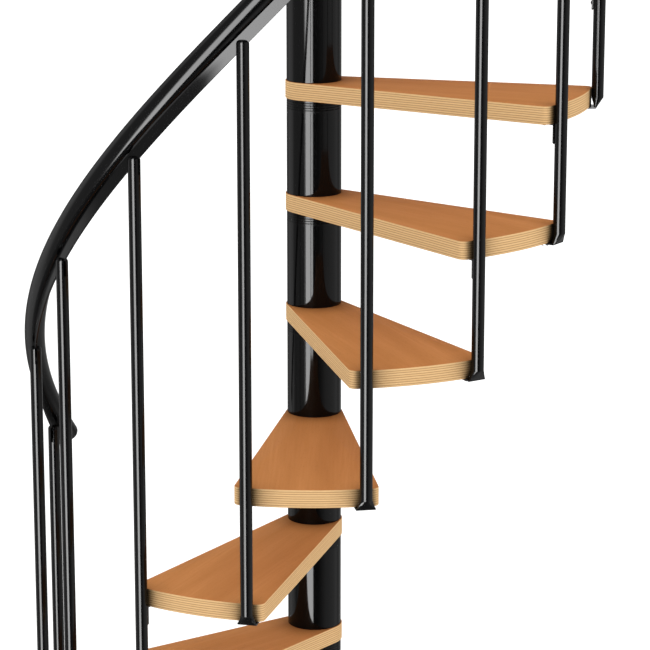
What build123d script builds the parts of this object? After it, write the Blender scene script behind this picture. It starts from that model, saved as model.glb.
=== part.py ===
from build123d import *
import math
import os

# Spiral staircase: a black steel column with plywood treads on it, one tube baluster
# at the front of each tread, and a round handrail with a flat web that winds round
# them. Millimetres, +Z up. The origin is on the column axis, on the floor.

# Layout of the flight, counter-clockwise going up, seen from above
TREAD_COUNT = 11
STEP_ANGLE = 22.82
FIRST_POST_ANGLE = 165.7
POST_CIRCLE_RADIUS = 578.0

# Column: sleeves and stacks of levelling rings, threaded on one pole
SLEEVE_LENGTH = 172.0
SLEEVE_RADIUS = 56.2
SLEEVE_WALL = 3.0
RING_HEIGHT = 5.0
RINGS_PER_STACK = 5
RING_GROOVE = 0.8
POLE_RADIUS = 24.0
POLE_WALL = 4.0
POLE_CLEARANCE = 0.25

# Base flange on the floor
FLANGE_RADIUS = 150.0
FLANGE_THICKNESS = 10.0
FLANGE_EDGE_ROUND = 2.0
FLANGE_HOLE_CIRCLE = 120.0
FLANGE_HOLE_RADIUS = 6.5
FLANGE_HOLE_COUNT = 6
COLLAR_WALL = 8.0
COLLAR_HEIGHT = 60.0

# Top of the column, above the landing
TOP_SLEEVE_LENGTH = 90.0
CAP_LIP = 2.0
CAP_HEIGHT = 22.0
CAP_ROUND = 14.0

# Treads of plywood
TREAD_THICKNESS = 36.0
HUB_LIP = 2.25
TREAD_POST_GAP = 1.3
NOSE_PAST_POST = 29.0
TREAD_CORNER_RADIUS = 15.0

# Landing, of the same board
LANDING_CORNER_RADIUS = 15.0

# Balusters: round tubes, pinched flat at the foot and slotted at the top
POST_RADIUS = 12.2
POST_WALL = 1.5
POST_TOP_HEIGHT = 860.0
POST_TOP_ROUND = 7.5
POST_TOP_THICKNESS = 4.0
SLOT_DEPTH = 35.0
PINCH_HEIGHT = 18.0
PINCH_SHIFT = 2.7
TAB_LENGTH = 44.0
TAB_CORNER_RADIUS = 12.0
TAB_HOLE_RADIUS = 4.25
TAB_HOLE_FROM_END = 14.0

# Angle brackets that hold each baluster under the front corner of the next tread
BRACKET_THICKNESS = 3.0
BRACKET_WIDTH = 12.0
BRACKET_DROP = 40.0
BRACKET_REACH = 30.0
BRACKET_CHAMFER = 3.0
BRACKET_HOLE_RADIUS = 2.75
BRACKET_HOLE_FROM_END = 8.0
BRACKET_CLEARANCE = 0.3

# Handrail: round tube with a flat web under it
RAIL_RADIUS = 21.0
RAIL_WALL = 2.5
WEB_THICKNESS = 4.0
WEB_DEPTH = 42.4
WEB_SEAT = 16.4
WEB_SLOT_CLEARANCE = 0.4
RAIL_OVERRUN_ANGLE = 11.2
RAIL_SECTIONS = 6
RAIL_END_BULGE = 14.0
RAIL_END_ROUND = 12.0

# Guard along the open side of the landing
GUARD_POST_COUNT = 4
GUARD_FIRST_POST = 75.0
GUARD_CORNER_INSET = 40.0
GUARD_RAIL_OVERRUN = 70.0

# Worked out from the sizes above
rise = SLEEVE_LENGTH + RINGS_PER_STACK * RING_HEIGHT + TREAD_THICKNESS
stack_height = RINGS_PER_STACK * RING_HEIGHT
hub_radius = SLEEVE_RADIUS + HUB_LIP
tread_radius = POST_CIRCLE_RADIUS - POST_RADIUS - TREAD_POST_GAP
tab_thickness = 2 * POST_WALL
tab_width = math.pi * POST_RADIUS
landing_top = (TREAD_COUNT + 1) * rise
nose_angle = math.degrees(NOSE_PAST_POST / tread_radius)
hub_side_angle = math.degrees(math.asin(hub_radius / tread_radius))
side_angle = STEP_ANGLE / 2 + nose_angle - hub_side_angle
rail_length_angle = TREAD_COUNT * STEP_ANGLE + 2 * RAIL_OVERRUN_ANGLE
section_angle = rail_length_angle / RAIL_SECTIONS
rail_pitch = rise * 360 / STEP_ANGLE
rail_slope = math.atan2(rise, math.radians(STEP_ANGLE) * POST_CIRCLE_RADIUS)
rail_height = POST_TOP_HEIGHT - WEB_SEAT + WEB_DEPTH / math.cos(rail_slope)
guard_rail_height = POST_TOP_HEIGHT - WEB_SEAT + WEB_DEPTH


def post_angle(index):
    """Direction of a baluster, in degrees from +X."""
    return FIRST_POST_ANGLE + index * STEP_ANGLE


def write(name, *solids):
    """Write the solids of one sub-part to its own file."""
    export_step(Compound(label=name, children=list(solids)), f"parts/{name}.step")


def ring(outer, inner, bottom, height):
    """A plain tube on the column axis."""
    body = Cylinder(outer, height, align=(Align.CENTER, Align.CENTER, Align.MIN))
    bore = Cylinder(inner, height, align=(Align.CENTER, Align.CENTER, Align.MIN))
    return Pos(0, 0, bottom) * (body - bore)


def make_base_flange():
    """Round floor plate with a bolt circle and a collar that the pole stands in."""
    plate = Cylinder(FLANGE_RADIUS, FLANGE_THICKNESS, align=(Align.CENTER, Align.CENTER, Align.MIN))
    rim = plate.edges().filter_by(GeomType.CIRCLE).sort_by(Axis.Z)[-1]
    plate = fillet(rim, FLANGE_EDGE_ROUND)
    collar_inner = POLE_RADIUS + POLE_CLEARANCE
    plate += ring(collar_inner + COLLAR_WALL, collar_inner, FLANGE_THICKNESS, COLLAR_HEIGHT)
    hole = Cylinder(FLANGE_HOLE_RADIUS, 4 * FLANGE_THICKNESS)
    for place in PolarLocations(FLANGE_HOLE_CIRCLE, FLANGE_HOLE_COUNT):
        plate -= place * hole
    return plate


def make_ring_stack():
    """One stack of levelling rings, with a shallow groove at each joint."""
    inner = POLE_RADIUS + POLE_CLEARANCE
    points = [(inner, 0), (SLEEVE_RADIUS, 0)]
    for joint in range(1, RINGS_PER_STACK):
        level = joint * RING_HEIGHT
        points += [
            (SLEEVE_RADIUS, level - RING_GROOVE),
            (SLEEVE_RADIUS - RING_GROOVE, level),
            (SLEEVE_RADIUS, level + RING_GROOVE),
        ]
    points += [(SLEEVE_RADIUS, stack_height), (inner, stack_height)]
    outline = Plane.XZ * make_face(Polyline(*points, close=True))
    return revolve(outline, Axis.Z)


def make_tread():
    """Wedge-shaped board with a round hub, its centre line along +X, its top at z=0."""
    side = math.radians(side_angle)
    run = math.sqrt(tread_radius**2 - hub_radius**2)
    root = (-hub_radius * math.sin(side), hub_radius * math.cos(side))
    tip = (root[0] + run * math.cos(side), root[1] + run * math.sin(side))
    edges = [
        ThreePointArc(root, (-hub_radius, 0), (root[0], -root[1])),
        Line((root[0], -root[1]), (tip[0], -tip[1])),
        ThreePointArc((tip[0], -tip[1]), (tread_radius, 0), tip),
        Line(tip, root),
    ]
    outline = make_face(edges)
    corners = outline.vertices().group_by(Axis.X)[-1]
    outline = fillet(corners, TREAD_CORNER_RADIUS)
    board = Pos(0, 0, -TREAD_THICKNESS) * extrude(outline, TREAD_THICKNESS)
    return board - Cylinder(POLE_RADIUS + POLE_CLEARANCE, 4 * TREAD_THICKNESS)


def make_landing():
    """Square board whose corner wraps the column, its front edge along +X, top at z=0."""
    edges = [
        Line((0, -hub_radius), (tread_radius, -hub_radius)),
        Line((tread_radius, -hub_radius), (tread_radius, tread_radius)),
        Line((tread_radius, tread_radius), (-hub_radius, tread_radius)),
        Line((-hub_radius, tread_radius), (-hub_radius, 0)),
        RadiusArc((-hub_radius, 0), (0, -hub_radius), -hub_radius),
    ]
    outline = make_face(edges)
    far = outline.vertices().sort_by_distance((0, 0))[2:]
    outline = fillet(far, LANDING_CORNER_RADIUS)
    board = Pos(0, 0, -TREAD_THICKNESS) * extrude(outline, TREAD_THICKNESS)
    return board - Cylinder(POLE_RADIUS + POLE_CLEARANCE, 4 * TREAD_THICKNESS)


def make_baluster(length):
    """Tube on the Z axis, the column towards -X, the top of its foot tab at z=0."""
    tube = Pos(0, 0, PINCH_HEIGHT) * Cylinder(
        POST_RADIUS, length - PINCH_HEIGHT, align=(Align.CENTER, Align.CENTER, Align.MIN)
    )
    tube = fillet(tube.edges().filter_by(GeomType.CIRCLE).sort_by(Axis.Z)[-1], POST_TOP_ROUND)
    bore_length = length - PINCH_HEIGHT - POST_TOP_THICKNESS
    tube -= Pos(0, 0, PINCH_HEIGHT) * Cylinder(
        POST_RADIUS - POST_WALL, bore_length, align=(Align.CENTER, Align.CENTER, Align.MIN)
    )
    slot_width = WEB_THICKNESS + 2 * WEB_SLOT_CLEARANCE
    tube -= Pos(0, 0, length - SLOT_DEPTH / 2) * Box(slot_width, 4 * POST_RADIUS, SLOT_DEPTH)
    return tube + make_foot()


def make_foot():
    """Pinched end of a baluster: round above, flat below, folded in under the board."""
    quarter = math.sqrt(0.5) * POST_RADIUS
    corners = [(quarter, -quarter), (quarter, quarter), (-quarter, quarter), (-quarter, -quarter)]
    mids = [(POST_RADIUS, 0), (0, POST_RADIUS), (-POST_RADIUS, 0), (0, -POST_RADIUS)]
    arcs = [
        ThreePointArc(corners[i], mids[i], corners[(i + 1) % 4])
        for i in range(4)
    ]
    top = Pos(0, 0, PINCH_HEIGHT) * make_face(arcs)
    half_width = tab_width / 2
    half_thick = tab_thickness / 2
    flat = [
        (half_thick, -half_width),
        (half_thick, half_width),
        (-half_thick, half_width),
        (-half_thick, -half_width),
    ]
    bottom = Pos(-PINCH_SHIFT, 0, -tab_thickness) * make_face(Polyline(*flat, close=True))
    pinch = loft([bottom, top], ruled=True)
    outer = half_thick - PINCH_SHIFT
    tab = Pos(outer, 0, 0) * Box(
        TAB_LENGTH, tab_width, tab_thickness, align=(Align.MAX, Align.CENTER, Align.MAX)
    )
    inner_corners = tab.edges().filter_by(Axis.Z).group_by(Axis.X)[0]
    tab = fillet(inner_corners, TAB_CORNER_RADIUS)
    hole_x = outer - TAB_LENGTH + TAB_HOLE_FROM_END
    tab -= Pos(hole_x, 0, 0) * Cylinder(TAB_HOLE_RADIUS, 4 * tab_thickness)
    return pinch + tab


def make_bracket():
    """Angle under a board: its long leg against a baluster at x=0, its top at z=0."""
    reach = BRACKET_REACH + BRACKET_THICKNESS
    upright = Box(
        BRACKET_THICKNESS, BRACKET_WIDTH, BRACKET_DROP, align=(Align.MAX, Align.CENTER, Align.MAX)
    )
    lower_corners = upright.edges().filter_by(Axis.X).group_by(Axis.Z)[0]
    upright = chamfer(lower_corners, BRACKET_CHAMFER)
    leg = Box(reach, BRACKET_WIDTH, BRACKET_THICKNESS, align=(Align.MAX, Align.CENTER, Align.MAX))
    angle = upright + leg
    hole = Cylinder(BRACKET_HOLE_RADIUS, 4 * BRACKET_THICKNESS)
    angle -= Pos(BRACKET_HOLE_FROM_END - reach, 0, 0) * hole
    return angle


def rail_section_sketch(slope=0.0):
    """Section of the rail: a tube with its web towards +Y, leant so that it stays upright.

    On a winding rail the web leans a little, so that its lower edge keeps to the post circle.
    """
    tube = Circle(RAIL_RADIUS) - Circle(RAIL_RADIUS - RAIL_WALL)
    sides = []
    for depth in (RAIL_RADIUS - RAIL_WALL / 2, WEB_DEPTH):
        aside = depth * math.sin(slope)
        lean = math.sqrt(POST_CIRCLE_RADIUS**2 - aside**2) - POST_CIRCLE_RADIUS
        sides.append((lean - WEB_THICKNESS / 2, lean + WEB_THICKNESS / 2, depth))
    (near_in, near_out, near), (far_in, far_out, far) = sides
    web = Polyline((near_in, near), (near_out, near), (far_out, far), (far_in, far), close=True)
    return tube + make_face(web)


def helix_plane(angle):
    """Plane square to the rail's centre line at an angle from the first section's start."""
    turn = math.radians(angle)
    point = (
        POST_CIRCLE_RADIUS * math.cos(turn),
        POST_CIRCLE_RADIUS * math.sin(turn),
        rail_pitch * angle / 360,
    )
    along = (
        -math.sin(turn) * math.cos(rail_slope),
        math.cos(turn) * math.cos(rail_slope),
        math.sin(rail_slope),
    )
    return Plane(origin=point, x_dir=(math.cos(turn), math.sin(turn), 0), z_dir=along)


def make_rail_section():
    """One length of the winding rail, starting on the +X axis at z=0."""
    path = Helix(
        pitch=rail_pitch, height=rail_pitch * section_angle / 360, radius=POST_CIRCLE_RADIUS
    )
    section = helix_plane(0) * rail_section_sketch(rail_slope)
    return sweep(section, path=path, is_frenet=True)


def make_end_cap():
    """Rounded plug that closes a rail end, its rim at z=0 and its crown towards +Z."""
    plug = Cylinder(RAIL_RADIUS, RAIL_END_BULGE, align=(Align.CENTER, Align.CENTER, Align.MIN))
    rim = plug.edges().filter_by(GeomType.CIRCLE).sort_by(Axis.Z)[-1]
    return fillet(rim, RAIL_END_ROUND)


def make_guard_rail(length):
    """Straight level rail from the origin along +X, its web hanging down."""
    across = Plane(origin=(0, 0, 0), x_dir=(0, 1, 0), z_dir=(1, 0, 0))
    section = Rot(0, 0, 180) * rail_section_sketch()
    return extrude(across * section, length)


os.makedirs("parts", exist_ok=True)

base_flange = make_base_flange()
write("base_flange", base_flange)

pole_height = landing_top + TOP_SLEEVE_LENGTH - FLANGE_THICKNESS
centre_pole = ring(POLE_RADIUS, POLE_RADIUS - POLE_WALL, FLANGE_THICKNESS, pole_height)
write("centre_pole", centre_pole)

sleeves = []
stacks = []
sleeve_bottom = FLANGE_THICKNESS
for level in range(1, TREAD_COUNT + 2):
    stack_bottom = level * rise - TREAD_THICKNESS - stack_height
    sleeves.append(
        ring(SLEEVE_RADIUS, SLEEVE_RADIUS - SLEEVE_WALL, sleeve_bottom, stack_bottom - sleeve_bottom)
    )
    stacks.append(Pos(0, 0, stack_bottom) * make_ring_stack())
    sleeve_bottom = level * rise
write("column_sleeves", *sleeves)
write("levelling_rings", *stacks)

top_sleeve = ring(SLEEVE_RADIUS, SLEEVE_RADIUS - SLEEVE_WALL, landing_top, TOP_SLEEVE_LENGTH)
write("top_sleeve", top_sleeve)
cap = Cylinder(SLEEVE_RADIUS + CAP_LIP, CAP_HEIGHT, align=(Align.CENTER, Align.CENTER, Align.MIN))
cap = fillet(cap.edges().filter_by(GeomType.CIRCLE).sort_by(Axis.Z)[-1], CAP_ROUND)
write("column_cap", Pos(0, 0, landing_top + TOP_SLEEVE_LENGTH) * cap)

tread = make_tread()
for number in range(1, TREAD_COUNT + 1):
    middle = post_angle(number - 1) + STEP_ANGLE / 2
    write(f"tread_{number:02d}", Pos(0, 0, number * rise) * Rot(0, 0, middle) * tread)

landing_angle = post_angle(TREAD_COUNT) + STEP_ANGLE / 2 - side_angle
landing_place = Pos(0, 0, landing_top) * Rot(0, 0, landing_angle)
write("landing", landing_place * make_landing())

bracket = make_bracket()
brackets = []
for number in range(TREAD_COUNT + 1):
    under_own = number * rise - TREAD_THICKNESS
    foot_level = under_own if number else tab_thickness
    length = (number + 1) * rise + POST_TOP_HEIGHT - foot_level
    turn = Rot(0, 0, post_angle(number))
    post_place = Pos(0, 0, foot_level) * turn * Pos(POST_CIRCLE_RADIUS, 0, 0)
    write(f"baluster_{number:02d}", post_place * make_baluster(length))
    bracket_face = POST_CIRCLE_RADIUS - POST_RADIUS - BRACKET_CLEARANCE
    bracket_place = Pos(0, 0, under_own + rise) * turn * Pos(bracket_face, 0, 0)
    brackets.append(bracket_place * bracket)
write("edge_brackets", *brackets)

rail_start = FIRST_POST_ANGLE - RAIL_OVERRUN_ANGLE
rail_start_level = rise + rail_height - rise * RAIL_OVERRUN_ANGLE / STEP_ANGLE
rail_place = Pos(0, 0, rail_start_level) * Rot(0, 0, rail_start)
rail_section = make_rail_section()
for number in range(RAIL_SECTIONS):
    turned = number * section_angle
    climb = Pos(0, 0, rail_pitch * turned / 360) * Rot(0, 0, turned)
    write(f"handrail_{number + 1}", rail_place * climb * rail_section)

low_end = helix_plane(0)
low_end = Plane(origin=low_end.origin, x_dir=low_end.x_dir, z_dir=-low_end.z_dir)
high_end = helix_plane(rail_length_angle)
end_cap = make_end_cap()
rail_caps = [rail_place * (low_end * end_cap), rail_place * (high_end * end_cap)]

guard_line = -hub_radius - TREAD_POST_GAP - POST_RADIUS
guard_last = tread_radius - GUARD_CORNER_INSET
guard_step = (guard_last - GUARD_FIRST_POST) / (GUARD_POST_COUNT - 1)
guard_length = POST_TOP_HEIGHT + TREAD_THICKNESS
for number in range(GUARD_POST_COUNT):
    along = GUARD_FIRST_POST + number * guard_step
    place = landing_place * Pos(guard_line, along, -TREAD_THICKNESS) * Rot(0, 0, 180)
    write(f"guard_baluster_{number + 1}", place * make_baluster(guard_length))

guard_rail_length = guard_last - GUARD_FIRST_POST + 2 * GUARD_RAIL_OVERRUN
guard_near = GUARD_FIRST_POST - GUARD_RAIL_OVERRUN
guard_start = Pos(guard_line, guard_near, guard_rail_height) * Rot(0, 0, 90)
write("guard_rail", landing_place * guard_start * make_guard_rail(guard_rail_length))
near_cap = landing_place * guard_start * Rot(0, -90, 0) * end_cap
far_cap = landing_place * guard_start * Pos(guard_rail_length, 0, 0) * Rot(0, 90, 0) * end_cap
write("rail_end_caps", *rail_caps, near_cap, far_cap)
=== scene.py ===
import logging
import math
from abc import ABC, abstractmethod
from dataclasses import dataclass, replace
from enum import Enum
from functools import cached_property

import bmesh
import bpy
from mathutils import Matrix, Vector


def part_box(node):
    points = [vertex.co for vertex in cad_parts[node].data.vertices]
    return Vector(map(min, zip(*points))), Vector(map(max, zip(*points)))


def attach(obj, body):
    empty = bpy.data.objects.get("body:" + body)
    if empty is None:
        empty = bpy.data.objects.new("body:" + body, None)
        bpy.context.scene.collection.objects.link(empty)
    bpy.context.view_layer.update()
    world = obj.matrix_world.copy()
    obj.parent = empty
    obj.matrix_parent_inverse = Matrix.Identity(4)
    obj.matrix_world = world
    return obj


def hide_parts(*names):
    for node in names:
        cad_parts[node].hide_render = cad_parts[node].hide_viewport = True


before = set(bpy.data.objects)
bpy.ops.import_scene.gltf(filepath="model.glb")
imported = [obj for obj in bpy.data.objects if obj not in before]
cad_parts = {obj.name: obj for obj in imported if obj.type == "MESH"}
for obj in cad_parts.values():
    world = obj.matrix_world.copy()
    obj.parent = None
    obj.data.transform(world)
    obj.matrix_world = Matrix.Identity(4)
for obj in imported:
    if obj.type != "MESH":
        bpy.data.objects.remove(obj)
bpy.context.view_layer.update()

# Looks of a spiral staircase: plywood treads on a black column, tube balusters and a
# winding handrail. Metres, +Z up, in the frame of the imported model; angles in degrees.

LOG = logging.getLogger("staircase")
BODY = "root"
BOARD_PLACE = "board_place"
MM = 0.001
FULL_TURN = 360.0
MERGE_DISTANCE = 1e-7
SHARP_ANGLE = 25.0
FASTENER_SHARP_ANGLE = 28.0
HEXAGON_ANGLE = 60.0
ALL_BUT_GLOSS = ("camera", "diffuse", "transmission", "volume_scatter", "shadow")

Pair = tuple[float, float]
Triple = tuple[float, float, float]
Colour = Triple
Range = Pair
Profile = list[Pair]
Rings = list[list[Vector]]
Socket = bpy.types.NodeSocket
Material = bpy.types.Material
BuildMesh = bmesh.types.BMesh


class Slot(Enum):
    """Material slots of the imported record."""

    PLYWOOD = "plywood"
    BLACK_GLOSS = "black_gloss"
    PLASTIC_BLACK = "plastic_black"


class Head(Enum):
    """Shape of a fastener's head."""

    HEX = "hex"
    DOME = "dome"


class Graph:
    """The nodes of one material, added and joined in few words."""

    def __init__(self, name: str) -> None:
        """Start an empty material with its output.

        Args:
            name: name of the material.
        """
        self.material = bpy.data.materials.new(name)
        self.material.use_nodes = True
        self.tree = self.material.node_tree
        self.tree.nodes.clear()
        self.output = self.tree.nodes.new("ShaderNodeOutputMaterial")

    def add(self, kind: str, inputs: dict | None = None, **settings: object) -> bpy.types.Node:
        """Add a node, set its options and fill or join its inputs.

        Args:
            kind: node type without its ShaderNode prefix.
            inputs: value or socket for each input, by name or index.
            settings: options of the node itself.

        Returns:
            The new node.
        """
        node = self.tree.nodes.new("ShaderNode" + kind)
        for key, value in settings.items():
            setattr(node, key, value)
        for key, value in (inputs or {}).items():
            if isinstance(value, Socket):
                self.tree.links.new(value, node.inputs[key])
            else:
                node.inputs[key].default_value = value
        return node

    def math(self, operation: str, first: object, second: object = 0.0) -> Socket:
        """Join two values by one sum.

        Args:
            operation: Blender's name of the sum.
            first: number or socket.
            second: number or socket.

        Returns:
            The result's socket.
        """
        return self.add("Math", {0: first, 1: second}, operation=operation).outputs[0]

    def noise(self, vector: Socket, scale: float, detail: float) -> Socket:
        """Smooth noise from 0 to 1.

        Args:
            vector: socket of the coordinate.
            scale: waves per unit of that coordinate.
            detail: octaves.

        Returns:
            The noise's value.
        """
        inputs = {"Vector": vector, "Scale": scale, "Detail": detail}
        return self.add("TexNoise", inputs).outputs["Fac"]

    def spread(self, value: Socket, source: Range, result: Range = (0.0, 1.0)) -> Socket:
        """Map a range of values to another range, held at both ends.

        Args:
            value: socket to map.
            source: values that give the ends of the result.
            result: the two ends.

        Returns:
            The mapped value.
        """
        inputs = {0: value, 1: source[0], 2: source[1], 3: result[0], 4: result[1]}
        return self.add("MapRange", inputs).outputs[0]

    def mix(self, amount: object, first: object, second: object, blend: str = "MIX") -> Socket:
        """Mix two colours.

        Args:
            amount: share of the second, number or socket.
            first: colour or socket.
            second: colour or socket.
            blend: Blender's name of the blend.

        Returns:
            The mixed colour.
        """
        node = self.add("Mix", {0: amount}, data_type="RGBA", blend_type=blend)
        for index, value in ((6, first), (7, second)):
            if isinstance(value, Socket):
                self.tree.links.new(value, node.inputs[index])
            else:
                node.inputs[index].default_value = (*value, 1.0)
        return node.outputs[2]

    def bump(self, height: Socket, depth: float, strength: float = 1.0) -> Socket:
        """Bump from a height of 0 to 1.

        Args:
            height: socket of the height.
            depth: real depth at height 1.
            strength: share of the effect.

        Returns:
            The bumped normal.
        """
        inputs = {"Height": height, "Distance": depth, "Strength": strength}
        return self.add("Bump", inputs).outputs["Normal"]

    def finish(self, shader: bpy.types.Node) -> Material:
        """Join the shader to the output and hand over the material.

        Args:
            shader: node that gives the surface.

        Returns:
            The material.
        """
        self.tree.links.new(shader.outputs[0], self.output.inputs[0])
        return self.material


@dataclass(frozen=True)
class BlackFinish:
    """Black lacquer or plastic: a smooth coat with a faint ripple and a few dull patches."""

    name: str
    colour: Colour
    roughness: float
    dulling: float = 0.03
    ripple: float = 12.0 * MM
    ripple_depth: float = 0.001 * MM
    ripple_detail: float = 1.0
    specular: float = 0.15
    patch_scale: float = 9.0
    patch_detail: float = 3.0
    patch_range: Range = (0.35, 0.7)
    patch_tint: float = 1.25

    def material(self) -> Material:
        """Build the finish.

        Returns:
            The material.
        """
        graph = Graph(self.name)
        place = graph.add("TexCoord").outputs["Object"]
        patches = graph.noise(place, self.patch_scale, self.patch_detail)
        ripple = graph.noise(place, 1.0 / self.ripple, self.ripple_detail)
        patch_colour = tuple(self.patch_tint * part for part in self.colour)
        dulled = (self.roughness, self.roughness + self.dulling)
        return graph.finish(graph.add("BsdfPrincipled", {
            "Base Color": graph.mix(patches, self.colour, patch_colour),
            "Roughness": graph.spread(patches, self.patch_range, dulled),
            "Specular IOR Level": self.specular,
            "Normal": graph.bump(ripple, self.ripple_depth),
        }))


@dataclass(frozen=True)
class ZincFinish:
    """Zinc plated steel: grey metal with a soft mottle."""

    name: str
    colour: Colour
    roughness: float
    dulling: float = 0.15
    mottle_scale: float = 160.0
    mottle_detail: float = 4.0
    mottle_range: Range = (0.3, 0.7)
    mottle_tint: float = 0.8
    mottle_depth: float = 0.03 * MM

    def material(self) -> Material:
        """Build the finish.

        Returns:
            The material.
        """
        graph = Graph(self.name)
        place = graph.add("TexCoord").outputs["Object"]
        mottle = graph.noise(place, self.mottle_scale, self.mottle_detail)
        mottle_colour = tuple(self.mottle_tint * part for part in self.colour)
        dulled = (self.roughness, self.roughness + self.dulling)
        return graph.finish(graph.add("BsdfPrincipled", {
            "Base Color": graph.mix(mottle, self.colour, mottle_colour),
            "Metallic": 1.0,
            "Roughness": graph.spread(mottle, self.mottle_range, dulled),
            "Normal": graph.bump(mottle, self.mottle_depth),
        }))


@dataclass(frozen=True)
class Figure:
    """A layer of the wood's figure: noise stretched along the board.

    The scale is in waves per metre along, across and through the board. The layer comes in
    between the two noise values of its band, and its share is how much it then counts.
    """

    scale: Triple
    detail: float
    band: Range
    share: float = 1.0

    def noise(self, graph: Graph, place: Socket) -> Socket:
        """Plain noise of the layer, from 0 to 1.

        Args:
            graph: material under construction.
            place: coordinate on the board.

        Returns:
            The noise's value.
        """
        stretched = graph.add("Mapping", {"Vector": place, "Scale": self.scale}).outputs[0]
        return graph.noise(stretched, 1.0, self.detail)

    def amount(self, graph: Graph, place: Socket) -> Socket:
        """How much of the layer shows, from 0 to its share.

        Args:
            graph: material under construction.
            place: coordinate on the board.

        Returns:
            The amount.
        """
        return graph.spread(self.noise(graph, place), self.band, (0.0, self.share))


@dataclass(frozen=True)
class PlywoodFinish:
    """Varnished plywood: streaked beech on the faces, plies and glue lines on the edges, and
    painted shade in the corners.
    """

    name: str
    face: Colour
    face_dark: Colour
    edge: Colour
    edge_dark: Colour
    glue: Colour
    ply: float = 4.5 * MM
    roughness: Range = (0.56, 0.66)
    specular: float = 0.012
    bands: Figure = Figure((1.6, 17.0, 1.0), 3.0, (0.3, 0.7))
    streaks: Figure = Figure((6.0, 190.0, 1.0), 2.0, (0.3, 0.75), 0.5)
    flecks: Figure = Figure((70.0, 900.0, 1.0), 1.0, (0.62, 0.8), 0.35)
    fibre: Figure = Figure((130.0, 130.0, 900.0), 3.0, (0.3, 0.7), 0.5)
    sway: Figure = Figure((14.0, 14.0, 60.0), 2.0, (0.2, 0.8), 0.09)
    grain: Figure = Figure((9.0, 420.0, 420.0), 3.0, (0.3, 0.7))
    glue_line: Range = (0.35, 0.45)
    glue_share: float = 0.85
    crossing_share: float = 0.35
    edge_tilt: Range = (0.75, 0.35)
    relief_depth: float = 0.05 * MM
    relief_strength: float = 0.6
    # Painted shade: how far the ambient occlusion reaches, its samples, and how strongly it darkens
    # the faces and the edges beside the balusters and the column.
    painted_shade_reach: float = 60.0 * MM
    painted_shade_samples: int = 8
    face_painted_shade_power: float = 0.8
    edge_painted_shade_power: float = 2.2

    def material(self) -> Material:
        """Build the finish.

        Returns:
            The material.
        """
        graph = Graph(self.name)
        place = graph.add("Attribute", attribute_name=BOARD_PLACE).outputs["Vector"]
        board = graph.add("ObjectInfo").outputs["Location"]
        shifted = graph.add("VectorMath", {0: place, 1: board}, operation="ADD").outputs[0]
        edge, relief = self._edge(graph, place, shifted)
        normal = graph.add("NewGeometry").outputs["Normal"]
        upright = graph.math("ABSOLUTE", graph.add("SeparateXYZ", {0: normal}).outputs[2])
        on_edge = graph.spread(upright, self.edge_tilt)
        grain = self.grain.noise(graph, shifted)
        height = graph.math("ADD", graph.math("MULTIPLY", relief, on_edge), grain)
        return graph.finish(graph.add("BsdfPrincipled", {
            "Base Color": graph.mix(on_edge, self._face(graph, shifted), edge),
            "Roughness": graph.spread(grain, self.grain.band, self.roughness),
            "Specular IOR Level": self.specular,
            "Normal": graph.bump(height, self.relief_depth, self.relief_strength),
        }))

    def _painted_corner_shade(self, graph: Graph, tint: Socket, power: float) -> Socket:
        """Darken a colour in corners, as against a baluster or the column: painted shade, taken
        from ambient occlusion.

        Args:
            graph: material under construction.
            tint: the colour in the open.
            power: how strongly it darkens.

        Returns:
            The shaded colour.
        """
        inputs = {"Distance": self.painted_shade_reach}
        corner = graph.add("AmbientOcclusion", inputs, samples=self.painted_shade_samples).outputs["AO"]
        return graph.mix(1.0, tint, graph.math("POWER", corner, power), "MULTIPLY")

    def _face(self, graph: Graph, shifted: Socket) -> Socket:
        """Colour of the broad faces.

        Args:
            graph: material under construction.
            shifted: coordinate on the board, moved for each board.

        Returns:
            The colour.
        """
        tint = graph.mix(self.bands.amount(graph, shifted), self.face_dark, self.face)
        tint = graph.mix(self.streaks.amount(graph, shifted), tint, self.face_dark)
        tint = graph.mix(self.flecks.amount(graph, shifted), tint, self.glue)
        # Painted shade on the faces beside the balusters and the column.
        return self._painted_corner_shade(graph, tint, self.face_painted_shade_power)

    def _edge(self, graph: Graph, place: Socket, shifted: Socket) -> tuple[Socket, Socket]:
        """Colour and relief of the sawn edges.

        Args:
            graph: material under construction.
            place: coordinate on the board, its top at Z = 0.
            shifted: the same coordinate moved for each board.

        Returns:
            The colour and the height of the surface.
        """
        depth = graph.math("DIVIDE", graph.add("SeparateXYZ", {0: place}).outputs[2], -self.ply)
        swing = (-self.sway.share, self.sway.share)
        sway = graph.spread(self.sway.noise(graph, shifted), self.sway.band, swing)
        depth = graph.math("ADD", depth, sway)
        within = graph.math("SUBTRACT", graph.math("FRACT", depth), 0.5)
        line = graph.spread(graph.math("ABSOLUTE", within), self.glue_line)
        pair = graph.math("FRACT", graph.math("MULTIPLY", depth, 0.5))
        crossing = graph.math("GREATER_THAN", pair, 0.5)
        tint = graph.mix(self.fibre.amount(graph, shifted), self.edge, self.edge_dark)
        crossed = graph.math("MULTIPLY", crossing, self.crossing_share)
        tint = graph.mix(crossed, tint, self.edge_dark)
        glued = graph.math("MULTIPLY", line, self.glue_share)
        tint = graph.mix(glued, tint, self.glue)
        # Painted shade on the edges beside the balusters and the column.
        tint = self._painted_corner_shade(graph, tint, self.edge_painted_shade_power)
        return tint, graph.math("SUBTRACT", 1.0, line)


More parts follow.
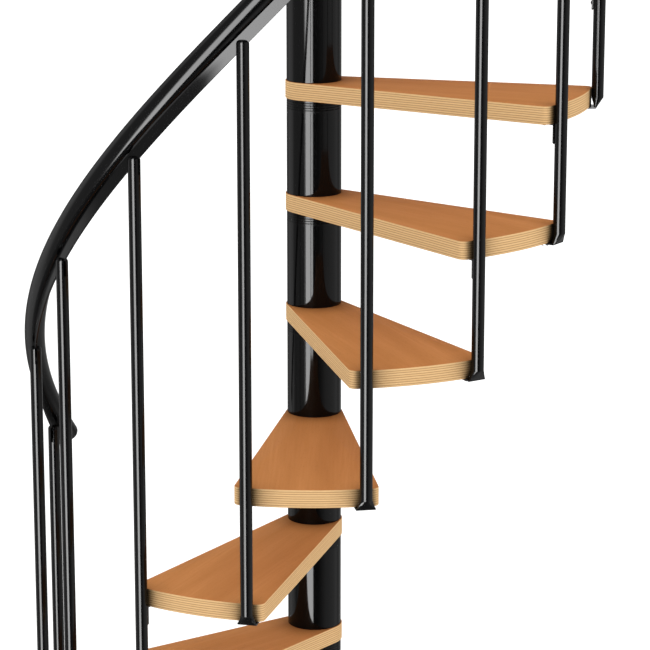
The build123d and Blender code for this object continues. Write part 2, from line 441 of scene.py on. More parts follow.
GLOSS_LACQUER = BlackFinish("gloss_black_lacquer", (0.0014, 0.0014, 0.0015), roughness=0.10)
BALUSTER_LACQUER = BlackFinish(
    "baluster_black_lacquer", (0.0014, 0.0014, 0.0015), roughness=0.12, specular=0.18
)
COLUMN_LACQUER = BlackFinish(
    "column_black_lacquer", (0.0016, 0.0016, 0.0017), roughness=0.08, ripple=14.0 * MM
)
BLACK_PLASTIC = BlackFinish(
    "moulded_black_plastic", (0.0025, 0.0025, 0.0025), roughness=0.13, dulling=0.04,
    ripple=1.2 * MM,
)
SATIN_LACQUER = BlackFinish(
    "satin_black_fittings", (0.004, 0.004, 0.004), roughness=0.2, dulling=0.08,
    ripple=1.5 * MM, ripple_depth=0.003 * MM, specular=0.18,
)
ZINC = ZincFinish("zinc_plated_steel", (0.62, 0.63, 0.65), roughness=0.26)
PLYWOOD = PlywoodFinish(
    "varnished_beech_plywood",
    face=(0.485, 0.207, 0.070),
    face_dark=(0.388, 0.155, 0.048),
    edge=(0.612, 0.406, 0.204),
    edge_dark=(0.508, 0.315, 0.142),
    glue=(0.17, 0.075, 0.028),
)


def polar(radius: float, angle: float, level: float = 0.0) -> Vector:
    """Point at a radius and an angle about the column axis.

    Args:
        radius: distance from the axis.
        angle: direction from the axis.
        level: height.

    Returns:
        The point.
    """
    turn = math.radians(angle)
    return Vector((radius * math.cos(turn), radius * math.sin(turn), level))


def circle(radius: float, level: float, sides: int) -> list[Vector]:
    """Points of a level circle, counter-clockwise."""
    return [polar(radius, FULL_TURN * index / sides, level) for index in range(sides)]


def quarter_turns(steps: int) -> list[float]:
    """Angles in radians that divide a quarter turn into equal steps."""
    return [0.5 * math.pi * step / steps for step in range(steps + 1)]


def turned_grid(bm: BuildMesh, rings: Rings, closed_low: bool, closed_high: bool) -> None:
    """Join equal rings of points by quads, with a flat end where asked.

    Args:
        bm: mesh that the faces go into.
        rings: rings of equal length, each counter-clockwise seen from the last ring.
        closed_low: close the first ring.
        closed_high: close the last ring.
    """
    rows = [[bm.verts.new(point) for point in ring] for ring in rings]
    count = len(rows[0])
    for low, high in zip(rows, rows[1:]):
        for index in range(count):
            after = (index + 1) % count
            bm.faces.new((low[index], low[after], high[after], high[index]))
    if closed_low:
        bm.faces.new(list(reversed(rows[0])))
    if closed_high:
        bm.faces.new(rows[-1])


def plain_mesh(bm: BuildMesh, name: str) -> bpy.types.Mesh:
    """Turn a build mesh into a Blender mesh.

    Args:
        bm: the build mesh, which is freed.
        name: name of the mesh.

    Returns:
        The mesh.
    """
    mesh = bpy.data.meshes.new(name)
    bm.to_mesh(mesh)
    bm.free()
    return mesh


def outward_mesh(bm: BuildMesh, name: str) -> bpy.types.Mesh:
    """Turn a build mesh into a Blender mesh with its normals outwards.

    Args:
        bm: the build mesh, which is freed.
        name: name of the mesh.

    Returns:
        The mesh.
    """
    bmesh.ops.recalc_face_normals(bm, faces=bm.faces)
    return plain_mesh(bm, name)


def object_from(
    mesh: bpy.types.Mesh, level: float = 0.0, sharp_angle: float = SHARP_ANGLE
) -> bpy.types.Object:
    """Put a mesh in the scene under its own name, its smooth parts shaded smooth.

    Args:
        mesh: the mesh.
        level: height of its origin.
        sharp_angle: an edge that turns by more stays sharp.

    Returns:
        The new object.
    """
    mesh.shade_smooth()
    mesh.set_sharp_from_angle(angle=math.radians(sharp_angle))
    piece = bpy.data.objects.new(mesh.name, mesh)
    bpy.context.scene.collection.objects.link(piece)
    piece.matrix_world = Matrix.Translation((0.0, 0.0, level))
    return piece


@dataclass(frozen=True)
class Flight:
    """Where the treads, balusters and landing stand; the levels are read from the CAD nodes."""

    treads: int = 11
    step_angle: float = 22.82
    first_post_angle: float = 165.7
    post_circle: float = 578.0 * MM
    post_radius: float = 12.2 * MM
    post_gap: float = 1.3 * MM
    hub_radius: float = 58.45 * MM
    bore_radius: float = 24.25 * MM
    nose_past_post: float = 29.0 * MM
    guard_posts: int = 4
    guard_first: float = 75.0 * MM
    guard_corner_inset: float = 40.0 * MM

    @property
    def board_radius(self) -> float:
        """Radius of a tread's front."""
        return self.post_circle - self.post_radius - self.post_gap

    @property
    def side_angle(self) -> float:
        """Angle between a tread's side and its centre line.

        Returns:
            The angle.
        """
        nose = math.degrees(self.nose_past_post / self.board_radius)
        hub = math.degrees(math.asin(self.hub_radius / self.board_radius))
        return self.step_angle / 2 + nose - hub

    @property
    def landing(self) -> int:
        """Number of the landing, counted on from the treads."""
        return self.treads + 1

    @property
    def landing_angle(self) -> float:
        """Direction of the landing's front edge."""
        return self.post_angle(self.treads) + self.step_angle / 2 - self.side_angle

    @property
    def guard_places(self) -> list[float]:
        """Places of the guard's balusters along the landing's open side.

        Returns:
            The distance of each from the column's axis, along that side.
        """
        last = self.board_radius - self.guard_corner_inset
        step = (last - self.guard_first) / (self.guard_posts - 1)
        return [self.guard_first + index * step for index in range(self.guard_posts)]

    def guard_point(self, along: float, level: float, inset: float = 0.0) -> Vector:
        """Point on the line of the guard's balusters, or beside it.

        Args:
            along: distance from the column's axis, along the landing's open side.
            level: height.
            inset: distance from the line towards the landing's middle.

        Returns:
            The point, in the frame.
        """
        line = -self.hub_radius - self.post_gap - self.post_radius + inset
        turn = Matrix.Rotation(math.radians(self.landing_angle), 3, "Z")
        return turn @ Vector((line, along, level))

    def post_angle(self, index: int) -> float:
        """Direction of a baluster."""
        return self.first_post_angle + index * self.step_angle

    def board_node(self, number: int) -> str:
        """CAD node of a tread, or of the landing after the last tread."""
        return f"tread_{number:02d}" if number <= self.treads else "landing"

    def board_levels(self, number: int) -> Range:
        """Underside and top of a tread, or of the landing after the last tread."""
        low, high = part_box(self.board_node(number))
        return low.z, high.z


class SubAssembly(ABC):
    """Common work of every sub-assembly: dress CAD nodes and fix new pieces to the body."""

    @abstractmethod
    def build(self) -> None:
        """Make and dress the sub-assembly."""

    def dress(self, nodes: list[str], finish: BlackFinish | ZincFinish) -> None:
        """Give CAD nodes a finish.

        Args:
            nodes: names of the nodes.
            finish: finish that builds the material.
        """
        material = finish.material()
        for name in nodes:
            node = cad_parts[name]
            if not node.material_slots:
                node.data.materials.append(None)
            for slot in node.material_slots:
                slot.material = material
        LOG.info("dressed %s as %s", ", ".join(nodes), material.name)

    def fix(self, piece: bpy.types.Object, material: Material, slot: Slot | None = None) -> None:
        """Dress a new piece and fix it to the body.

        Args:
            piece: the new object, in place.
            material: its material.
            slot: the record's slot that it matches, if any; not used.
        """
        piece.data.materials.append(material)
        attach(piece, BODY)
        LOG.info("%s: %d faces", piece.name, len(piece.data.polygons))


@dataclass(frozen=True)
class Arc:
    """Part of a board's outline: a centre, a radius and two angles."""

    centre: Pair
    radius: float
    start: float
    end: float
    steps: int

    def points(self) -> list[tuple[Vector, Vector]]:
        """Points on the arc.

        Returns:
            Each point with the outward direction there.
        """
        found = []
        for index in range(self.steps + 1):
            outward = polar(1.0, self.start + (self.end - self.start) * index / self.steps)
            found.append((Vector((*self.centre, 0.0)) + outward * self.radius, outward))
        return found


@dataclass
class Boards(SubAssembly):
    """Plywood treads and landing, each a board with eased edges and a bore for the pole."""

    flight: Flight
    corner_radius: float = 15.0 * MM
    corner_steps: int = 12
    eased_edge: float = 1.2 * MM
    easing_steps: int = 3
    hub_steps: int = 40
    front_steps: int = 32
    landing_hub_steps: int = 24

    def build(self) -> None:
        """Make all boards in place of their CAD solids."""
        flight, material = self.flight, PLYWOOD.material()
        tread = self._tread_outline()
        for number in range(1, flight.landing):
            middle = flight.post_angle(number - 1) + flight.step_angle / 2
            self._board(f"tread_board_{number:02d}", number, middle, tread, material)
        square = self._landing_outline()
        self._board("landing_board", flight.landing, flight.landing_angle, square, material)

    def _board(
        self, name: str, number: int, direction: float, outline: list[Arc], material: Material
    ) -> None:
        """Make one board.

        Args:
            name: name of the piece.
            number: place in the flight, from 1.
            direction: direction of its own X axis.
            outline: arcs of its outline, counter-clockwise, joined by straight lines.
            material: its material.
        """
        low, high = self.flight.board_levels(number)
        mesh = self._mesh(name, outline, high - low)
        own = mesh.attributes.new(BOARD_PLACE, "FLOAT_VECTOR", "POINT")
        for vertex, entry in zip(mesh.vertices, own.data):
            entry.vector = vertex.co
        mesh.transform(Matrix.Rotation(math.radians(direction), 4, "Z"))
        piece = object_from(mesh, high)
        self.fix(piece, material, Slot.PLYWOOD)
        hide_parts(self.flight.board_node(number))

    def _mesh(self, name: str, outline: list[Arc], thickness: float) -> bpy.types.Mesh:
        """Mesh of a board with its top at Z = 0.

        Args:
            name: name of the mesh.
            outline: arcs of its outline.
            thickness: thickness of the board.

        Returns:
            The mesh.
        """
        stations = [station for arc in outline for station in arc.points()]
        rings = []
        for inset, level in self._edge_profile(thickness):
            lift = Vector((0.0, 0.0, level))
            rings.append([point - outward * inset + lift for point, outward in stations])
        bore = [point.normalized() * self.flight.bore_radius for point, _ in stations]
        bore_low = [point + Vector((0.0, 0.0, -thickness)) for point in bore]
        bm = bmesh.new()
        turned_grid(bm, [bore_low, *rings, bore, bore_low], False, False)
        bmesh.ops.remove_doubles(bm, verts=bm.verts, dist=MERGE_DISTANCE)
        return outward_mesh(bm, name)

    def _edge_profile(self, thickness: float) -> Profile:
        """Eased edge of a board.

        Args:
            thickness: thickness of the board.

        Returns:
            Inset and level of each ring, from the underside up.
        """
        ease, turns = self.eased_edge, quarter_turns(self.easing_steps)
        rounded = [(ease * (1.0 - math.sin(turn)), ease * (1.0 - math.cos(turn))) for turn in turns]
        low = [(inset, rise - thickness) for inset, rise in rounded]
        return low + [(drop, -inset) for inset, drop in rounded]

    def _tread_outline(self) -> list[Arc]:
        """Outline of a tread: round hub, straight sides and a front on the post circle.

        Returns:
            Its arcs.
        """
        hub, front, corner = self.flight.hub_radius, self.flight.board_radius, self.corner_radius
        side = self.flight.side_angle
        along = math.sqrt((front - corner) ** 2 - (hub - corner) ** 2)
        middle = math.hypot(hub - corner, along)
        aim = math.degrees(math.asin((hub - corner) / middle)) + side
        low, high = polar(middle, -aim), polar(middle, aim)
        return [
            Arc((0.0, 0.0), hub, 90.0 + side, 270.0 - side, self.hub_steps),
            Arc((low.x, low.y), corner, -90.0 - side, -aim, self.corner_steps),
            Arc((0.0, 0.0), front, -aim, aim, self.front_steps),
            Arc((high.x, high.y), corner, aim, 90.0 + side, self.corner_steps),
        ]

    def _landing_outline(self) -> list[Arc]:
        """Outline of the landing: a square whose corner wraps the column.

        Returns:
            Its arcs.
        """
        hub, corner, steps = self.flight.hub_radius, self.corner_radius, self.corner_steps
        near, far = corner - hub, self.flight.board_radius - corner
        return [
            Arc((0.0, 0.0), hub, 180.0, 270.0, self.landing_hub_steps),
            Arc((far, near), corner, -90.0, 0.0, steps),
            Arc((far, far), corner, 0.0, 90.0, steps),
            Arc((near, far), corner, 90.0, 180.0, steps),
        ]


@dataclass
class Column(SubAssembly):
    """Sleeves, levelling rings, pole, base flange and cap."""

    def build(self) -> None:
        """Dress the column's CAD nodes."""
        self.dress(["column_sleeves", "top_sleeve"], COLUMN_LACQUER)
        self.dress(["levelling_rings", "column_cap"], BLACK_PLASTIC)
        self.dress(["base_flange"], SATIN_LACQUER)
        self.dress(["centre_pole"], ZINC)


@dataclass
class Railing(SubAssembly):
    """Balusters, brackets and the guard of the landing."""

    flight: Flight

    def build(self) -> None:
        """Dress the railing's CAD nodes."""
        posts = [f"baluster_{index:02d}" for index in range(self.flight.treads + 1)]
        guard = [f"guard_baluster_{index + 1}" for index in range(self.flight.guard_posts)]
        self.dress(posts + guard, BALUSTER_LACQUER)
        self.dress(["guard_rail"], GLOSS_LACQUER)
        self.dress(["edge_brackets"], SATIN_LACQUER)


@dataclass
class Handrail(SubAssembly):
    """Winding rail: a round tube with an upright flat web under it, in six lengths.

    Its lower end is cut back from the solid's by low_end_cut, to where the photograph has it.
    """

    flight: Flight
    tube_radius: float = 21.0 * MM
    web_thickness: float = 4.0 * MM
    web_depth: float = 42.4 * MM
    web_seat: float = 16.4 * MM
    web_edge: float = 0.5 * MM
    web_steps: tuple[float, ...] = (0.6, 0.75, 0.9)
    post_top: float = 860.0 * MM
    overrun_angle: float = 11.2
    low_end_cut: float = 3.6
    sections: int = 6
    tube_sides: int = 72
    steps: int = 48
    end_step: float = 0.02

    def build(self) -> None:
        """Make the lengths of the rail in place of their CAD solids."""
        material = GLOSS_LACQUER.material()
        start, end = self._solid_ends
        cut_start, _ = self.end_angles
        for number in range(self.sections):
            first = max(start + (end - start) * number / self.sections, cut_start)
            last = start + (end - start) * (number + 1) / self.sections
            bm = bmesh.new()
            rings = [self._ring(first + (last - first) * share) for share in self._shares()]
            turned_grid(bm, rings, True, True)
            piece = object_from(outward_mesh(bm, f"rail_length_{number + 1}"))
            self.fix(piece, material, Slot.BLACK_GLOSS)
            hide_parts(f"handrail_{number + 1}")

    @cached_property
    def rise(self) -> float:
        """Height from one tread to the next."""
        return self.flight.board_levels(2)[1] - self.flight.board_levels(1)[1]

    @cached_property
    def slope(self) -> float:
        """Slope of the rail's centre line, in radians."""
        return math.atan2(self.rise, math.radians(self.flight.step_angle) * self.flight.post_circle)

    @property
    def _solid_ends(self) -> Range:
        """Directions of the CAD rail's lower and upper end."""
        low, high = self.flight.post_angle(0), self.flight.post_angle(self.flight.treads)
        return low - self.overrun_angle, high + self.overrun_angle

    @property
    def end_angles(self) -> Range:
        """Directions of the rail's lower and upper end as shown."""
        low, high = self._solid_ends
        return low + self.low_end_cut, high

    def centre(self, angle: float) -> tuple[Vector, Vector]:
        """Centre of the tube at an angle round the column.

        Args:
            angle: direction from the column.

        Returns:
            The centre and the direction in which the rail climbs there.
        """
        turn = math.radians(angle)
        climbed = (angle - self.flight.first_post_angle) / self.flight.step_angle + 1
        above = self.post_top - self.web_seat + self.web_depth / math.cos(self.slope)
        along = Vector((-math.sin(turn), math.cos(turn), math.tan(self.slope))).normalized()
        return polar(self.flight.post_circle, angle, self.rise * climbed + above), along

    def _shares(self) -> list[float]:
        """Shares of a length at which its rings stand.

        Two rings stand close together at each end, so that the end takes the shade of the
        next length's start.

        Returns:
            The shares, from 0 to 1.
        """
        inner = [step / self.steps for step in range(1, self.steps)]
        near = self.end_step / self.steps
        return [0.0, near, *inner, 1.0 - near, 1.0]

    def _section(self) -> Profile:
        """Outline square to the rail.

        Returns:
            Distance outwards and downwards from the tube's centre, for each point.
        """
        half, radius, edge = self.web_thickness / 2, self.tube_radius, self.web_edge
        gap = math.asin(half / radius)
        outline = []
        for index in range(self.tube_sides + 1):
            turn = math.pi / 2 + gap + (2 * math.pi - 2 * gap) * index / self.tube_sides
            outline.append((radius * math.cos(turn), radius * math.sin(turn)))
        depths = [(half, share * self.web_depth) for share in self.web_steps]
        depths += [(half, self.web_depth - edge), (half - edge, self.web_depth)]
        outline += [(self._lean(depth) + aside, depth) for aside, depth in depths]
        outline += [(self._lean(depth) - aside, depth) for aside, depth in reversed(depths)]
        return outline

    def _lean(self, depth: float) -> float:
        """How far the web leans inwards at a depth, so that it stays on the post circle."""
        aside = depth * math.sin(self.slope)
        return math.sqrt(self.flight.post_circle ** 2 - aside ** 2) - self.flight.post_circle

    def _ring(self, angle: float) -> list[Vector]:
        """Points of the section at an angle round the column.

        Args:
            angle: direction from the column.

        Returns:
            The points.
        """
        middle, along = self.centre(angle)
        outward = polar(1.0, angle)
        down = along.cross(outward)
        return [middle + outward * out + down * depth for out, depth in self._section()]


@dataclass
class RailCaps(SubAssembly):
    """Rounded plugs in the ends of the winding rail and of the landing's rail."""

    flight: Flight
    handrail: Handrail
    height: float = 14.0 * MM
    edge_round: float = 12.0 * MM
    rim_inset: float = 0.1 * MM
    round_steps: int = 10
    sides: int = 72
    guard_overrun: float = 70.0 * MM

    def build(self) -> None:
        """Make the four plugs as one piece, in place of their CAD solids."""
        bm = bmesh.new()
        for point, axis in self._places():
            place = Matrix.Translation(point) @ axis.to_track_quat("Z", "Y").to_matrix().to_4x4()
            rings = [circle(radius, level, self.sides) for radius, level in self._profile()]
            turned_grid(bm, [[place @ spot for spot in ring] for ring in rings], True, True)
        piece = object_from(outward_mesh(bm, "rail_plugs"))
        self.fix(piece, BLACK_PLASTIC.material(), Slot.PLASTIC_BLACK)
        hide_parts("rail_end_caps")

    def _profile(self) -> Profile:
        """Outside of a plug.

        Returns:
            Radius and height of each ring, from its rim up.
        """
        rim, edge = self.handrail.tube_radius - self.rim_inset, self.edge_round
        outline = [(rim, 0.0)]
        for turn in quarter_turns(self.round_steps):
            drop = edge * (1.0 - math.sin(turn))
            outline.append((rim - edge + edge * math.cos(turn), self.height - drop))
        return outline

    def _places(self) -> list[tuple[Vector, Vector]]:
        """Where the plugs sit: the winding rail's two ends, then the guard rail's.

        Returns:
            Centre of each plug's rim and the direction that it points in.
        """
        rail, flight = self.handrail, self.flight
        low, high = (rail.centre(angle) for angle in rail.end_angles)
        above = rail.post_top - rail.web_seat + rail.web_depth
        level = flight.board_levels(flight.landing)[1] + above
        near = flight.guard_point(flight.guard_places[0] - self.guard_overrun, level)
        far = flight.guard_point(flight.guard_places[-1] + self.guard_overrun, level)
        outward = (far - near).normalized()
        return [(low[0], -low[1]), high, (near, -outward), (far, outward)]


@dataclass(frozen=True)
class Fastener:
    """A bolt or screw: head, washer and shank, its seat at Z = 0 and its head above.

    The thread's crest lies between two shares of its pitch. The stud's point is inset by a
    number of thread depths and lifted by a share of the pitch.
    """

    head: Head
    head_width: float
    head_height: float
    shank_radius: float
    shank_length: float
    washer_radius: float = 0.0
    washer_thickness: float = 0.0
    washer_edge: float = 0.2 * MM
    stud_height: float = 0.0
    thread_pitch: float = 1.75 * MM
    thread_depth: float = 0.9 * MM
    thread_crest: Range = (0.35, 0.65)
    stud_point: Pair = (1.2, 0.3)
    seat_flare: float = 1.02
    crown_share: float = 0.94
    chamfer: float = 0.4 * MM
    dome_step: float = 15.0
    dome_rings: int = 6
    sides: int = 48

    def add_to(self, bm: BuildMesh, place: Matrix) -> None:
        """Add the fastener to a build mesh.

        Args:
            bm: mesh that it goes into.
            place: its seat and axis.
        """
        bodies = [self._head_rings(self.washer_thickness)]
        if self.washer_thickness:
            bodies.append(self._washer_rings())
        bodies.append([self._round(self.shank_radius, end) for end in (-self.shank_length, 0.0)])
        if self.stud_height:
            bodies.append(self._stud_rings(self.washer_thickness + self.head_height))
        for rings in bodies:
            turned_grid(bm, [[place @ point for point in ring] for ring in rings], True, True)

    def _round(self, radius: float, level: float) -> list[Vector]:
        """Points of a circle round the axis."""
        return circle(radius, level, self.sides)

    def _hexed(self, radius: float, level: float) -> list[Vector]:
        """Points of a circle round the axis, held inside the head's hexagon.

        Args:
            radius: radius of the circle.
            level: height above the seat.

        Returns:
            The points.
        """
        points = []
        for index in range(self.sides):
            angle = FULL_TURN * index / self.sides
            off_flat = math.radians(angle % HEXAGON_ANGLE - HEXAGON_ANGLE / 2)
            reach = min(radius, self.head_width / 2 / math.cos(off_flat))
            points.append(polar(reach, angle, level))
        return points

    def _head_rings(self, seat: float) -> Rings:
        """Rings of the head.

        Args:
            seat: height of its underside.

        Returns:
            The rings, from its underside to its top.
        """
        half, top = self.head_width / 2, seat + self.head_height
        if self.head is Head.DOME:
            rings = []
            for step in range(self.dome_rings):
                turn = math.radians(step * self.dome_step)
                level = seat + self.head_height * math.sin(turn)
                rings.append(self._round(half * math.cos(turn), level))
            return rings
        corner = half / math.cos(math.radians(HEXAGON_ANGLE / 2))
        chamfer = (corner - half) / 2 + self.chamfer
        return [
            self._hexed(half * self.seat_flare, seat),
            self._hexed(corner, seat + chamfer / 2),
            self._hexed(corner, top - chamfer),
            self._hexed(half * self.crown_share, top),
        ]

    def _washer_rings(self) -> Rings:
        """Rings of the washer.

        Returns:
            The rings, from its underside to its top.
        """
        radius, top, edge = self.washer_radius, self.washer_thickness, self.washer_edge
        outline = [(radius - edge, 0.0), (radius, edge), (radius, top - edge), (radius - edge, top)]
        return [self._round(*spot) for spot in outline]

    def _stud_rings(self, base: float) -> Rings:
        """Rings of the threaded end above a nut, with its turns of thread.

        Args:
            base: height of the nut's top.

        Returns:
            The rings, from the nut up.
        """
        pitch, crest, depth = self.thread_pitch, self.shank_radius, self.thread_depth
        rings, level = [self._round(crest - depth, base)], base
        while level + pitch < base + self.stud_height:
            rings += [self._round(crest, level + share * pitch) for share in self.thread_crest]
            rings.append(self._round(crest - depth, level + pitch))
            level += pitch
        inset, lift = self.stud_point
        rings.append(self._round(crest - inset * depth, level + lift * pitch))
        return rings


FOOT_BOLT = Fastener(
    Head.HEX, head_width=13.0 * MM, head_height=5.3 * MM, shank_radius=4.0 * MM,
    shank_length=12.0 * MM, washer_radius=8.0 * MM, washer_thickness=1.6 * MM,
)
FLOOR_SCREW = replace(FOOT_BOLT, shank_length=3.0 * MM)
BRACKET_SCREW = Fastener(
    Head.DOME, head_width=9.4 * MM, head_height=3.2 * MM, shank_radius=2.4 * MM,
    shank_length=12.0 * MM,
)
TUBE_SCREW = Fastener(
    Head.DOME, head_width=8.0 * MM, head_height=2.6 * MM, shank_radius=2.0 * MM,
    shank_length=4.0 * MM,
)
ANCHOR_NUT = Fastener(
    Head.HEX, head_width=19.0 * MM, head_height=10.0 * MM, shank_radius=6.0 * MM,
    shank_length=10.0 * MM, washer_radius=12.0 * MM, washer_thickness=2.5 * MM,
    stud_height=7.0 * MM,
)


@dataclass
class Fixings(SubAssembly):
    """The bolts, screws and nuts that hold the stair together and to the floor."""

    flight: Flight
    tab_thickness: float = 3.0 * MM
    foot_hole_inset: float = 31.2 * MM
    bracket_thickness: float = 3.0 * MM
    bracket_gap: float = 0.3 * MM
    bracket_hole_inset: float = 25.0 * MM
    tube_screw_drop: float = 26.0 * MM
    anchors: int = 6
    anchor_circle: float = 120.0 * MM
    flange_top: float = 10.0 * MM

    def build(self) -> None:
        """Make every group of fixings."""
        zinc, black = ZINC.material(), SATIN_LACQUER.material()
        self._group("foot_bolts", FOOT_BOLT, self._foot_places(), zinc)
        self._group("floor_foot_bolt", FLOOR_SCREW, [self._first_foot()], zinc)
        self._group("bracket_screws", BRACKET_SCREW, self._bracket_places(), black)
        self._group("tube_screws", TUBE_SCREW, self._tube_places(), black)
        self._group("anchor_nuts", ANCHOR_NUT, self._anchor_places(), zinc)

    @property
    def _foot_circle(self) -> float:
        """Radius of the circle of the balusters' foot bolts."""
        return self.flight.post_circle - self.foot_hole_inset

    @property
    def _bracket_face(self) -> float:
        """Distance of the brackets' outer face from the column's axis."""
        return self.flight.post_circle - self.flight.post_radius - self.bracket_gap

    def _group(self, name: str, kind: Fastener, places: list[Matrix], material: Material) -> None:
        """Make one piece of all fasteners of a kind.

        Args:
            name: name of the piece.
            kind: the fastener.
            places: seat and axis of each.
            material: its finish.
        """
        bm = bmesh.new()
        for place in places:
            kind.add_to(bm, place)
        piece = object_from(outward_mesh(bm, name), sharp_angle=FASTENER_SHARP_ANGLE)
        self.fix(piece, material)

    def _hung(self, point: Vector) -> Matrix:
        """Seat at a point, with the fastener's head downwards."""
        return Matrix.Translation(point) @ Matrix.Rotation(math.pi, 4, "X")

    def _foot_places(self) -> list[Matrix]:
        """Seats under the foot tabs of the balusters and guard balusters.

        Returns:
            The seats.
        """
        flight, places = self.flight, []
        for index in range(1, flight.landing):
            level = flight.board_levels(index)[0] - self.tab_thickness
            places.append(self._hung(polar(self._foot_circle, flight.post_angle(index), level)))
        level = flight.board_levels(flight.landing)[0] - self.tab_thickness
        for along in flight.guard_places:
            places.append(self._hung(flight.guard_point(along, level, self.foot_hole_inset)))
        return places

    def _first_foot(self) -> Matrix:
        """Seat on the first baluster's tab, which stands on the floor."""
        point = polar(self._foot_circle, self.flight.post_angle(0), self.tab_thickness)
        return Matrix.Translation(point)

    def _bracket_places(self) -> list[Matrix]:
        """Seats under the brackets' short legs.

        Returns:
            The seats.
        """
        radius, places = self._bracket_face - self.bracket_hole_inset, []
        for index in range(self.flight.landing):
            level = self.flight.board_levels(index + 1)[0] - self.bracket_thickness
            places.append(self._hung(polar(radius, self.flight.post_angle(index), level)))
        return places

    def _tube_places(self) -> list[Matrix]:
        """Seats on the brackets' long legs, towards the column.

        Returns:
            The seats.
        """
        radius, places = self._bracket_face - self.bracket_thickness, []
        aside = Matrix.Rotation(-math.pi / 2, 4, "Y")
        for index in range(self.flight.landing):
            level = self.flight.board_levels(index + 1)[0] - self.tube_screw_drop
            angle = self.flight.post_angle(index)
            aim = Matrix.Rotation(math.radians(angle), 4, "Z") @ aside
            places.append(Matrix.Translation(polar(radius, angle, level)) @ aim)
        return places

    def _anchor_places(self) -> list[Matrix]:
        """Seats on the base flange."""
        points = circle(self.anchor_circle, self.flange_top, self.anchors)
        return [Matrix.Translation(point) for point in points]


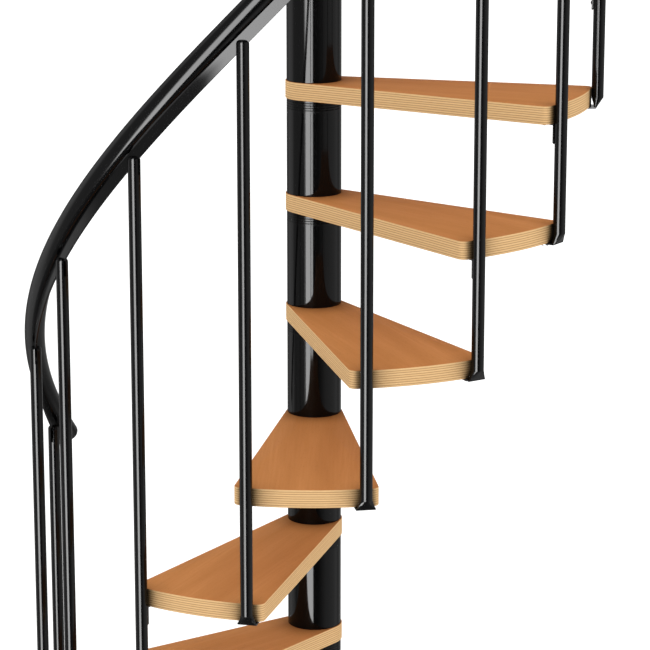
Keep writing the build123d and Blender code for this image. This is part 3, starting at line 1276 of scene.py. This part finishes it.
@dataclass
class Studio:
    """Pale floor, white surroundings, far cloths for the gloss and a soft lamp above.

    Only the gloss sees the cloths. They are dark but for one bright field to the front left,
    which gives every tube its stripe of light. The drapes' glow is given as pairs of a
    direction, from the front and positive towards +X, and a strength.
    """

    world_strength: float = 1.35
    floor_radius: float = 60.0
    floor_drop: float = 0.5 * MM
    floor_colour: float = 0.93
    floor_glow: float = 0.1
    round_sides: int = 96
    drape_radius: float = 11.0
    drape_levels: Range = (-20.0, 19.0)
    drape_glow: tuple[Pair, ...] = (
        (-180.0, 0.30), (-166.0, 0.27), (-160.0, 0.08), (-140.0, 0.10), (-127.0, 0.33),
        (-104.0, 0.56), (-92.0, 0.27), (-80.0, 0.30), (-67.0, 0.315), (-41.5, 0.415),
        (-34.0, 12.7), (-6.4, 12.7), (-5.0, 0.03), (14.0, 0.04), (26.0, 0.13), (50.0, 0.44),
        (75.0, 0.495), (108.0, 0.425), (124.0, 0.135), (150.0, 0.2), (160.0, 0.08),
        (166.0, 0.27), (180.0, 0.30),
    )
    drape_strength: float = 2.0
    drape_fade: Range = (8.2, 13.5)
    drape_fade_share: float = 0.2
    floor_cloth_glow: Range = (0.2, 0.65)
    floor_cloth_fade: Range = (5.4, 17.5)
    top_lamp_place: Triple = (0.5, -4.5, 5.5)
    top_lamp_aim: Triple = (0.0, 0.0, 1.6)
    top_lamp_size: float = 5.0
    top_lamp_strength: float = 1.0

    def build(self) -> None:
        """Make the surroundings and the lamp."""
        self._world()
        self._floor()
        self._drapes()
        self._floor_cloth()
        self._top_lamp()

    def _world(self) -> None:
        """White surroundings, plain white for the camera, for gloss and through glass."""
        world = bpy.data.worlds.new("white_surroundings")
        world.use_nodes = True
        tree = world.node_tree
        shade = tree.nodes["Background"]
        shade.inputs["Color"].default_value = (1.0, 1.0, 1.0, 1.0)
        path = tree.nodes.new("ShaderNodeLightPath")
        seen = path.outputs["Is Camera Ray"]
        for kind in ("Is Glossy Ray", "Is Transmission Ray"):
            either = tree.nodes.new("ShaderNodeMath")
            either.operation = "MAXIMUM"
            tree.links.new(seen, either.inputs[0])
            tree.links.new(path.outputs[kind], either.inputs[1])
            seen = either.outputs[0]
        level = tree.nodes.new("ShaderNodeMapRange")
        level.inputs["To Min"].default_value = self.world_strength
        level.inputs["To Max"].default_value = 1.0
        tree.links.new(seen, level.inputs["Value"])
        tree.links.new(level.outputs[0], shade.inputs["Strength"])
        bpy.context.scene.world = world

    def _stage(
        self, mesh: bpy.types.Mesh, level: float, material: Material, unseen: tuple[str, ...]
    ) -> None:
        """Put a mesh in the scene as part of the studio, not of the stair.

        Args:
            mesh: the mesh, whose name the object takes.
            level: height of its origin.
            material: its material.
            unseen: kinds of ray that don't see it.
        """
        mesh.materials.append(material)
        item = bpy.data.objects.new(mesh.name, mesh)
        item.location.z = level
        bpy.context.scene.collection.objects.link(item)
        for kind in unseen:
            setattr(item, "visible_" + kind, False)

    def _round(self, name: str, radius: float) -> bpy.types.Mesh:
        """Flat round mesh.

        Args:
            name: name of the mesh.
            radius: its radius.

        Returns:
            The mesh.
        """
        bm = bmesh.new()
        bmesh.ops.create_circle(bm, cap_ends=True, radius=radius, segments=self.round_sides)
        return plain_mesh(bm, name)

    def _floor(self) -> None:
        """Pale floor that keeps the stair's shadow."""
        graph = Graph("pale_floor")
        paint = graph.add("BsdfDiffuse", {"Color": (self.floor_colour,) * 3 + (1.0,)})
        path = graph.add("LightPath").outputs
        seen = graph.math("MAXIMUM", path["Is Camera Ray"], path["Is Glossy Ray"])
        seen = graph.math("MAXIMUM", seen, path["Is Transmission Ray"])
        glow = graph.add("Emission", {"Strength": graph.math("MULTIPLY", seen, self.floor_glow)})
        both = graph.add("AddShader", {0: paint.outputs[0], 1: glow.outputs[0]})
        floor = self._round("floor", self.floor_radius)
        self._stage(floor, -self.floor_drop, graph.finish(both), ("glossy",))

    def _drapes(self) -> None:
        """A drum of dark cloth round the stair."""
        graph = Graph("dark_drapes")
        place = graph.add("TexCoord").outputs["Object"]
        axes = graph.add("SeparateXYZ", {0: place}).outputs
        front = graph.math("MULTIPLY", axes[1], -1.0)
        turn = graph.math("DIVIDE", graph.math("ARCTAN2", axes[0], front), 2.0 * math.pi)
        ramp = graph.add("ValToRGB", {0: graph.math("ADD", turn, 0.5)})
        stops = ramp.color_ramp.elements
        while len(stops) < len(self.drape_glow):
            stops.new(1.0)
        for stop, (azimuth, level) in zip(stops, self.drape_glow):
            stop.position = azimuth / FULL_TURN + 0.5
            stop.color = (level, level, level, 1.0)
        strengths = (self.drape_strength, self.drape_fade_share * self.drape_strength)
        fade = graph.spread(axes[2], self.drape_fade, strengths)
        glow = graph.add("Emission", {"Color": ramp.outputs[0], "Strength": fade})
        bm = bmesh.new()
        rows = [circle(self.drape_radius, level, self.round_sides) for level in self.drape_levels]
        turned_grid(bm, rows, False, True)
        self._hang_cloth(plain_mesh(bm, "drapes"), 0.0, graph.finish(glow))

    def _floor_cloth(self) -> None:
        """A round of dark cloth below, so that the undersides shine black."""
        graph = Graph("dark_floor_cloth")
        place = graph.add("TexCoord").outputs["Object"]
        away = graph.add("VectorMath", {0: place}, operation="LENGTH").outputs["Value"]
        level = graph.spread(away, self.floor_cloth_fade, self.floor_cloth_glow)
        glow = graph.finish(graph.add("Emission", {"Strength": level}))
        self._hang_cloth(self._round("floor_cloth", self.drape_radius), self.drape_levels[0], glow)

    def _hang_cloth(self, mesh: bpy.types.Mesh, level: float, material: Material) -> None:
        """Put up a cloth that only the gloss sees.

        Args:
            mesh: the cloth.
            level: height of its origin.
            material: its glow, which is kept from lighting the stair.
        """
        material.cycles.emission_sampling = "NONE"
        self._stage(mesh, level, material, ALL_BUT_GLOSS)

    def _top_lamp(self) -> None:
        """A large soft lamp in front and above, which lights the boards but not the gloss."""
        lamp = bpy.data.lights.new("top_lamp", "AREA")
        lamp.size = self.top_lamp_size
        lamp.energy = self.top_lamp_strength * math.pi * lamp.size ** 2
        holder = bpy.data.objects.new(lamp.name, lamp)
        holder.location = self.top_lamp_place
        aim = Vector(self.top_lamp_aim) - holder.location
        holder.rotation_euler = aim.to_track_quat("-Z", "Y").to_euler()
        bpy.context.scene.collection.objects.link(holder)
        for kind in ("camera", "glossy", "transmission"):
            setattr(holder, "visible_" + kind, False)


@dataclass(frozen=True)
class Viewpoint:
    """Camera of the photograph: above the stair's middle, tilted down.

    The focal length and the width of the frame are in pixels of the photograph.
    """

    place: Triple = (0.0, -5.687, 2.7504)
    tilt: float = 13.842
    turn: float = 0.2259
    focal: float = 2818.0
    frame_width: float = 650.0
    sensor: float = 36.0

    def build(self) -> None:
        """Make the camera and use it."""
        camera = bpy.data.cameras.new("camera")
        camera.sensor_width = self.sensor
        camera.lens = self.focal / self.frame_width * self.sensor
        holder = bpy.data.objects.new("camera", camera)
        holder.location = self.place
        holder.rotation_euler = (math.radians(90.0 - self.tilt), 0.0, -math.radians(self.turn))
        bpy.context.scene.collection.objects.link(holder)
        bpy.context.scene.camera = holder


def main() -> None:
    """Build the camera, the studio and each sub-assembly in order."""
    logging.basicConfig(level=logging.INFO, format="%(name)s: %(message)s")
    bpy.context.scene.view_settings.view_transform = "Standard"
    Viewpoint().build()
    Studio().build()
    flight = Flight()
    handrail = Handrail(flight)
    caps = RailCaps(flight, handrail)
    for part in (Column(), Boards(flight), Railing(flight), handrail, caps, Fixings(flight)):
        part.build()


if __name__ == "__main__":
    main()
